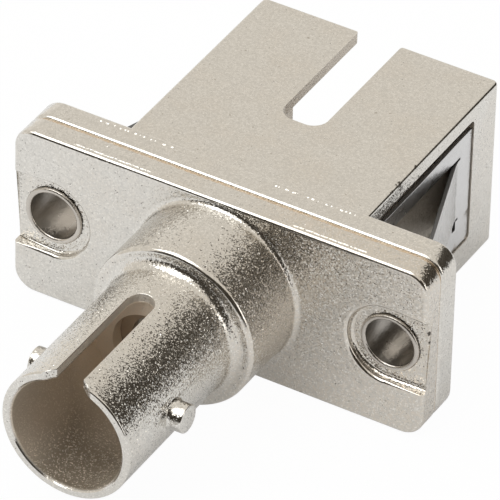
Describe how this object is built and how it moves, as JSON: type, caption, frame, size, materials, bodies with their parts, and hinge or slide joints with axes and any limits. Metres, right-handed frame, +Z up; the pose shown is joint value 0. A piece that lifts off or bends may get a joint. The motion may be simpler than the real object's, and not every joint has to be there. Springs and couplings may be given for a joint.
{
  "type": "st to sc fibre adapter",
  "caption": "Metal fibre through adapter: a slotted bayonet barrel on a round boss in front, a rectangular push-pull socket behind, and a flange with eyelets between.",
  "frame": {"origin": "centre of the bounding box, on the fibre axis", "axes": "+Y along the fibre axis towards the rectangular socket's opening, with the bayonet barrel towards -Y; +X along the flange; +Z towards the keyways; +Z up"},
  "size_m": [0.022, 0.0284, 0.0094],
  "materials": {
    "nickel_front": "satin nickel plating over a fine-grained die casting",
    "nickel_rear": "satin nickel plating over a fine-grained die casting",
    "eyelet_left_metal": "bright nickel plating over brass",
    "eyelet_right_metal": "bright nickel plating over brass",
    "clip_left_steel": "smooth rolled spring steel",
    "clip_right_steel": "smooth rolled spring steel",
    "insert_plastic": "moulded, matt",
    "holder_metal": "turned, nickel plated",
    "sleeve_ceramic": "polished ceramic"
  },
  "bodies": {
    "root": {"st_housing": "nickel_front", "sc_housing": "nickel_rear", "eyelet_left": "eyelet_left_metal", "eyelet_right": "eyelet_right_metal", "panel_clip_left": "clip_left_steel", "panel_clip_right": "clip_right_steel", "sc_latch_insert": "insert_plastic", "sleeve_holder": "holder_metal", "split_sleeve": "sleeve_ceramic"}
  },
  "joints": []
}
